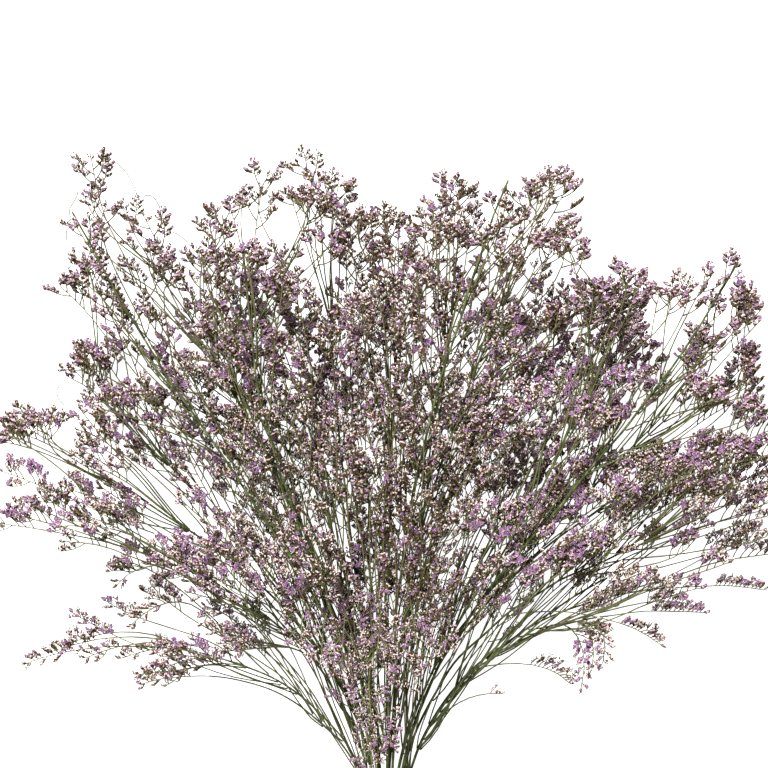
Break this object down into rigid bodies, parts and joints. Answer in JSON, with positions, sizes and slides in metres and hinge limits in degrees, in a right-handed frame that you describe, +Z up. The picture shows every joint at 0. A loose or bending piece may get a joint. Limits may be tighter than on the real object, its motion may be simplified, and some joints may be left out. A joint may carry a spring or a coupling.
{
  "type": "dried statice bunch",
  "caption": "Fan-shaped bunch of dried statice: thin green stems held by an elastic band, with fine mauve and cream flower sprays, lying on its side.",
  "frame": {"origin": "on the surface that the bunch lies on, under the middle of its length and width", "axes": "+Z up, away from the surface; +Y along the bunch from its cut ends to its flowering tips; +X across the fan"},
  "size_m": [0.7957, 0.7574, 0.1848],
  "materials": {
    "stem": "dry matt olive green stalk, finely ridged",
    "flower": "papery dry flower heads, cream calyces with mauve petals and brown bracts",
    "band": "plain matt tan elastic"
  },
  "bodies": {
    "root": {"stem_01": "stem", "stem_02": "stem", "stem_03": "stem", "stem_04": "stem", "stem_05": "stem", "stem_06": "stem", "stem_07": "stem", "stem_08": "stem", "stem_09": "stem", "stem_10": "stem", "stem_11": "stem", "stem_12": "stem", "stem_13": "stem", "stem_14": "stem", "stem_15": "stem", "stem_16": "stem", "stem_17": "stem", "stem_18": "stem", "stem_19": "stem", "stem_20": "stem", "elastic_band": "band", "spray_01_top": "flower", "spray_02_top": "flower", "spray_03_top": "flower", "spray_04_top": "flower", "spray_05_top": "flower", "spray_07_top": "flower", "spray_08_top": "flower", "spray_09_top": "flower", "spray_10_top": "flower", "spray_11_top": "flower", "spray_13_top": "flower", "spray_14_top": "flower", "spray_15_top": "flower", "spray_17_top": "flower", "spray_18_top": "flower", "spray_19_top": "flower", "spray_20_top": "flower", "spray_01_a": "flower", "spray_02_a": "flower", "spray_03_a": "flower", "spray_04_a": "flower", "spray_05_a": "flower", "spray_06_a": "flower", "spray_06_b": "flower", "spray_07_a": "flower", "spray_08_a": "flower", "spray_08_b": "flower", "spray_09_a": "flower", "spray_10_a": "flower", "spray_12_a": "flower", "spray_12_b": "flower", "spray_13_a": "flower", "spray_14_a": "flower", "spray_15_a": "flower", "spray_16_a": "flower", "spray_16_b": "flower", "spray_17_a": "flower", "spray_18_a": "flower", "spray_20_a": "flower"}
  },
  "joints": []
}
